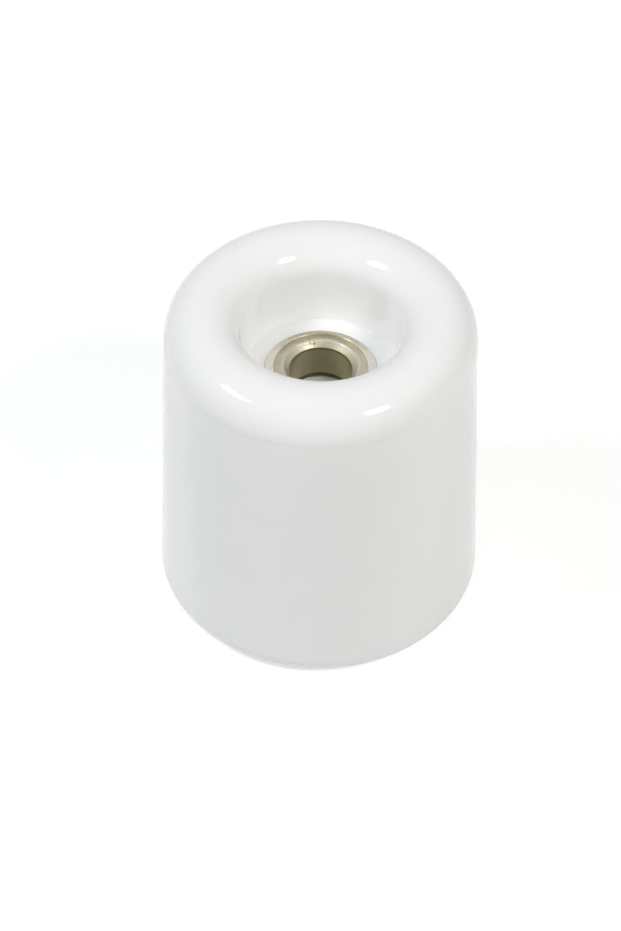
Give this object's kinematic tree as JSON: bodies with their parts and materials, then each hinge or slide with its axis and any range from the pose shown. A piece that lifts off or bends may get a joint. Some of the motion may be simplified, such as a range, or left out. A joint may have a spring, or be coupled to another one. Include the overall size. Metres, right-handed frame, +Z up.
{
  "type": "plastic door stop",
  "caption": "Cylindrical plastic door stop with a rounded rim and a deep recess, where a metal ferrule lines the hole for a fixing screw.",
  "frame": {"origin": "centre of the base", "axes": "+Z up the axis of the stop, from the base to the recessed end; +X and +Y lie in the base and are free, because the stop is round"},
  "size_m": [0.032, 0.032, 0.035],
  "materials": {
    "plastic": "glossy, milky white",
    "nickel": "warm nickel plate, lightly scuffed"
  },
  "bodies": {
    "root": {"stop_body": "plastic", "screw_ferrule": "nickel"}
  },
  "joints": []
}
